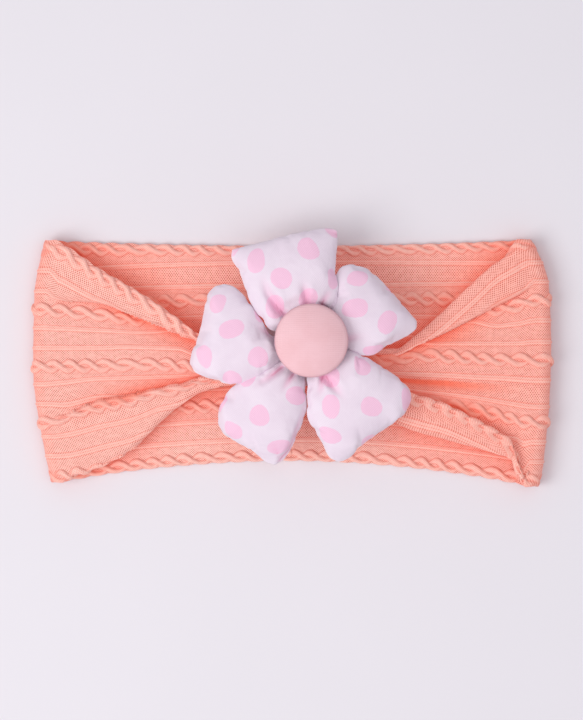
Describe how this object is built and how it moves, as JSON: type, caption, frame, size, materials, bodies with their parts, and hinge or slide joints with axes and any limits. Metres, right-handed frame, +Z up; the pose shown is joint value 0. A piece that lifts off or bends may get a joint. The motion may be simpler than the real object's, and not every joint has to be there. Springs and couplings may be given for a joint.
{
  "type": "knitted headband",
  "caption": "Wide cable-knit headband lying flat as a loop, gathered in front under a stuffed polka-dot fabric flower with a covered button.",
  "frame": {"origin": "on the table, in the middle of the band's length and width", "axes": "+X along the band, +Y across its width, +Z up from the table through the flower"},
  "size_m": [0.171, 0.0842, 0.0321],
  "materials": {
    "knit": "matte",
    "petal_cotton": "matte",
    "stuffing": "matte",
    "felt": "matte",
    "thread": "matte",
    "button_cloth": "matte",
    "button_metal": "satin"
  },
  "bodies": {
    "back_middle": {"back_middle_panel": "knit"},
    "back_left": {"back_left_panel": "knit"},
    "back_right": {"back_right_panel": "knit"},
    "front_left": {"front_left_panel": "knit"},
    "front_right": {"front_right_panel": "knit"},
    "flower_base": {"front_middle_left_panel": "knit", "gather_thread": "thread", "felt_backing": "felt", "inner_felt_disc": "felt", "petal_neck_thread": "thread", "sewing_thread": "thread"},
    "seam_side": {"front_middle_right_panel": "knit"},
    "button": {"button_cover_cloth": "button_cloth", "button_cap": "button_metal", "button_back_plate": "button_metal", "button_shank": "button_metal"},
    "top_petal": {"top_petal_cover": "petal_cotton", "top_petal_filling": "stuffing"},
    "right_petal": {"right_petal_cover": "petal_cotton", "right_petal_filling": "stuffing"},
    "low_right_petal": {"low_right_petal_cover": "petal_cotton", "low_right_petal_filling": "stuffing"},
    "low_left_petal": {"low_left_petal_cover": "petal_cotton", "low_left_petal_filling": "stuffing"},
    "left_petal": {"left_petal_cover": "petal_cotton", "left_petal_filling": "stuffing"}
  },
  "joints": [
    {"name": "back_left_lift", "type": "hinge", "parent": "back_middle", "child": "back_left", "pos_m": [-0.0285, 0, 0.002], "axis": [0, 1, 0], "range_deg": [0, 60]},
    {"name": "back_right_lift", "type": "hinge", "parent": "back_middle", "child": "back_right", "pos_m": [0.0285, 0, 0.002], "axis": [0, -1, 0], "range_deg": [0, 60]},
    {"name": "left_fold", "type": "hinge", "parent": "back_left", "child": "front_left", "pos_m": [-0.0855, 0, 0.0045], "axis": [0, -1, 0], "range_deg": [0, 120]},
    {"name": "right_fold", "type": "hinge", "parent": "back_right", "child": "front_right", "pos_m": [0.0855, 0, 0.0045], "axis": [0, 1, 0], "range_deg": [0, 120]},
    {"name": "left_gather", "type": "hinge", "parent": "front_left", "child": "flower_base", "pos_m": [-0.0285, 0, 0.007], "axis": [0, 1, 0], "range_deg": [0, 60]},
    {"name": "right_gather", "type": "hinge", "parent": "front_right", "child": "seam_side", "pos_m": [0.0285, 0, 0.007], "axis": [0, -1, 0], "range_deg": [0, 60]},
    {"name": "button_swivel", "type": "hinge", "parent": "flower_base", "child": "button", "pos_m": [0.0066, 0.0076, 0.0181], "axis": [0, 0, 1], "range_deg": [-25, 25], "stiffness_Nm_per_rad": 0.0005},
    {"name": "top_petal_lift", "type": "hinge", "parent": "flower_base", "child": "top_petal", "pos_m": [0.00397, 0.01621, 0.0183], "axis": [0.9563, 0.2924, 0], "range_deg": [0, 12], "stiffness_Nm_per_rad": 0.004},
    {"name": "right_petal_lift", "type": "hinge", "parent": "flower_base", "child": "right_petal", "pos_m": [0.01462, 0.01169, 0.0183], "axis": [0.454, -0.891, 0], "range_deg": [0, 12], "stiffness_Nm_per_rad": 0.004},
    {"name": "low_right_petal_lift", "type": "hinge", "parent": "flower_base", "child": "low_right_petal", "pos_m": [0.01208, 0.00046, 0.0183], "axis": [-0.7934, -0.6088, 0], "range_deg": [0, 12], "stiffness_Nm_per_rad": 0.004},
    {"name": "low_left_petal_lift", "type": "hinge", "parent": "flower_base", "child": "low_left_petal", "pos_m": [0.00203, -0.00015, 0.0183], "axis": [-0.8616, 0.5075, 0], "range_deg": [0, 12], "stiffness_Nm_per_rad": 0.004},
    {"name": "left_petal_lift", "type": "hinge", "parent": "flower_base", "child": "left_petal", "pos_m": [-0.0024, 0.00784, 0.0183], "axis": [0.0262, 0.9997, 0], "range_deg": [0, 12], "stiffness_Nm_per_rad": 0.004}
  ],
  "couplings": [
    {"joint": "back_right_lift", "follows": "back_left_lift", "ratio": 1},
    {"joint": "left_fold", "follows": "back_left_lift", "ratio": 2},
    {"joint": "right_fold", "follows": "back_left_lift", "ratio": 2},
    {"joint": "left_gather", "follows": "back_left_lift", "ratio": 1},
    {"joint": "right_gather", "follows": "back_left_lift", "ratio": 1}
  ]
}
